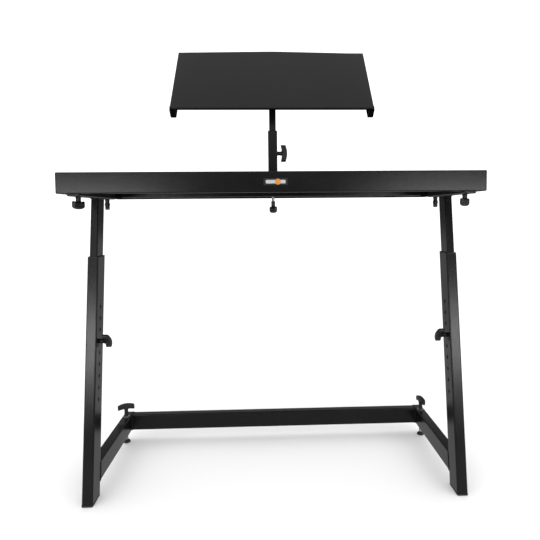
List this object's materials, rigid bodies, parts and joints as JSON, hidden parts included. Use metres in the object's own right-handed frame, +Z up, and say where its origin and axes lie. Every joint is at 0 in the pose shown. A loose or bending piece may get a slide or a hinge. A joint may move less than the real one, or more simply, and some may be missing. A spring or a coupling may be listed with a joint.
{
  "type": "keyboard and music stand table",
  "caption": "Steel table stand for a keyboard or laptop: leaning telescopic legs, sheet-steel tabletop and a tilting music desk on a telescopic post, locked by wing knobs.",
  "frame": {"origin": "Bottom centre of the bounding box, on the floor.", "axes": "+X to the right seen from the front, +Y from the front apron to the back, +Z up."},
  "size_m": [0.92, 0.4314, 1.1142],
  "materials": {
    "black_steel": "satin black powder coat with a fine texture",
    "black_plastic": "moulded black nylon, softly glossy",
    "black_rubber": "matt black rubber",
    "zinc": "bright zinc plate",
    "badge_metal": "plain brushed plate"
  },
  "bodies": {
    "base": {"leg_outer_tube_left": "black_steel", "leg_foot_cap_left": "black_rubber", "leg_sleeve_bush_left": "black_plastic", "base_rail_left": "black_steel", "base_rail_cap_left": "black_plastic", "leveller_washer_left": "zinc", "leg_outer_tube_right": "black_steel", "leg_foot_cap_right": "black_rubber", "leg_sleeve_bush_right": "black_plastic", "base_rail_right": "black_steel", "base_rail_cap_right": "black_plastic", "leveller_washer_right": "zinc", "base_crossbar": "black_steel"},
    "top": {"leg_inner_tube_left": "black_steel", "top_arm_left": "black_steel", "top_arm_rear_cap_left": "black_plastic", "top_arm_front_cap_left": "black_plastic", "leg_inner_tube_right": "black_steel", "top_arm_right": "black_steel", "top_arm_rear_cap_right": "black_plastic", "top_arm_front_cap_right": "black_plastic", "tabletop_pan": "black_steel", "tabletop_beam": "black_steel", "front_badge": "badge_metal", "post_foot_plate": "black_steel", "post_clamp_stud": "zinc", "post_outer_tube": "black_steel", "post_sleeve_bush": "black_plastic"},
    "post_inner": {"post_inner_tube": "black_steel", "post_knuckle": "black_steel"},
    "desk": {"desk_panel": "black_steel", "desk_bracket": "black_steel", "desk_tilt_bolt": "zinc"},
    "leg_left_screw": {"leg_left_knob": "black_plastic", "leg_left_stud": "zinc"},
    "top_front_left_screw": {"top_front_left_knob": "black_plastic", "top_front_left_stud": "zinc"},
    "top_rear_left_screw": {"top_rear_left_knob": "black_plastic", "top_rear_left_stud": "zinc"},
    "leveller_pad_left": {"leveller_pad_left": "black_rubber"},
    "leveller_screw_left": {"leveller_knob_left": "black_plastic", "leveller_spindle_left": "zinc"},
    "leg_right_screw": {"leg_right_knob": "black_plastic", "leg_right_stud": "zinc"},
    "top_front_right_screw": {"top_front_right_knob": "black_plastic", "top_front_right_stud": "zinc"},
    "top_rear_right_screw": {"top_rear_right_knob": "black_plastic", "top_rear_right_stud": "zinc"},
    "leveller_pad_right": {"leveller_pad_right": "black_rubber"},
    "leveller_screw_right": {"leveller_knob_right": "black_plastic", "leveller_spindle_right": "zinc"},
    "post_clamp_screw": {"post_clamp_knob": "black_plastic"},
    "post_height_lock_screw": {"post_height_knob": "black_plastic", "post_height_stud": "zinc"},
    "desk_tilt_lock_screw": {"desk_tilt_knob": "black_plastic"}
  },
  "joints": [
    {"name": "top_height", "type": "slide", "parent": "base", "child": "top", "axis": [0, 0.1564, 0.9877], "range_m": [-0.13, 0.08]},
    {"name": "post_height", "type": "slide", "parent": "top", "child": "post_inner", "axis": [0, 0, 1], "range_m": [-0.02, 0.04]},
    {"name": "desk_tilt", "type": "hinge", "parent": "post_inner", "child": "desk", "pos_m": [0, 0.09565, 0.997], "axis": [1, 0, 0], "range_deg": [-46, 34]},
    {"name": "leg_left_turn", "type": "hinge", "parent": "base", "child": "leg_left_screw", "pos_m": [-0.4175, -0.09717, 0.35902], "axis": [1, 0, 0], "range_deg": [0, 720]},
    {"name": "top_front_left_turn", "type": "hinge", "parent": "top", "child": "top_front_left_screw", "pos_m": [-0.43, -0.16735, 0.698], "axis": [0, 0, -1], "range_deg": [0, 720]},
    {"name": "top_rear_left_turn", "type": "hinge", "parent": "top", "child": "top_rear_left_screw", "pos_m": [-0.43, 0.02765, 0.698], "axis": [0, 0, -1], "range_deg": [0, 720]},
    {"name": "leveller_lift_left", "type": "slide", "parent": "base", "child": "leveller_pad_left", "axis": [0, 0, 1], "range_m": [0, 0.012]},
    {"name": "leveller_turn_left", "type": "hinge", "parent": "leveller_pad_left", "child": "leveller_screw_left", "pos_m": [-0.43, 0.13865, 0.09], "axis": [0, 0, 1], "range_deg": [0, 3456]},
    {"name": "leg_right_turn", "type": "hinge", "parent": "base", "child": "leg_right_screw", "pos_m": [0.4175, -0.09717, 0.35902], "axis": [-1, 0, 0], "range_deg": [0, 720]},
    {"name": "top_front_right_turn", "type": "hinge", "parent": "top", "child": "top_front_right_screw", "pos_m": [0.43, -0.16735, 0.698], "axis": [0, 0, -1], "range_deg": [0, 720]},
    {"name": "top_rear_right_turn", "type": "hinge", "parent": "top", "child": "top_rear_right_screw", "pos_m": [0.43, 0.02765, 0.698], "axis": [0, 0, -1], "range_deg": [0, 720]},
    {"name": "leveller_lift_right", "type": "slide", "parent": "base", "child": "leveller_pad_right", "axis": [0, 0, 1], "range_m": [0, 0.012]},
    {"name": "leveller_turn_right", "type": "hinge", "parent": "leveller_pad_right", "child": "leveller_screw_right", "pos_m": [0.43, 0.13865, 0.09], "axis": [0, 0, 1], "range_deg": [0, 3456]},
    {"name": "post_clamp_turn", "type": "hinge", "parent": "top", "child": "post_clamp_screw", "pos_m": [0, 0.09565, 0.691], "axis": [0, 0, -1], "range_deg": [0, 720]},
    {"name": "post_height_lock_turn", "type": "hinge", "parent": "top", "child": "post_height_lock_screw", "pos_m": [0.0125, 0.09565, 0.822], "axis": [1, 0, 0], "range_deg": [0, 720]},
    {"name": "desk_tilt_lock_turn", "type": "hinge", "parent": "desk", "child": "desk_tilt_lock_screw", "pos_m": [0.008, 0.09565, 0.997], "axis": [1, 0, 0], "range_deg": [0, 720]}
  ],
  "couplings": [
    {"joint": "leveller_turn_left", "follows": "leveller_lift_left", "rad_per_m": 5026.5},
    {"joint": "leveller_turn_right", "follows": "leveller_lift_right", "rad_per_m": 5026.5}
  ]
}
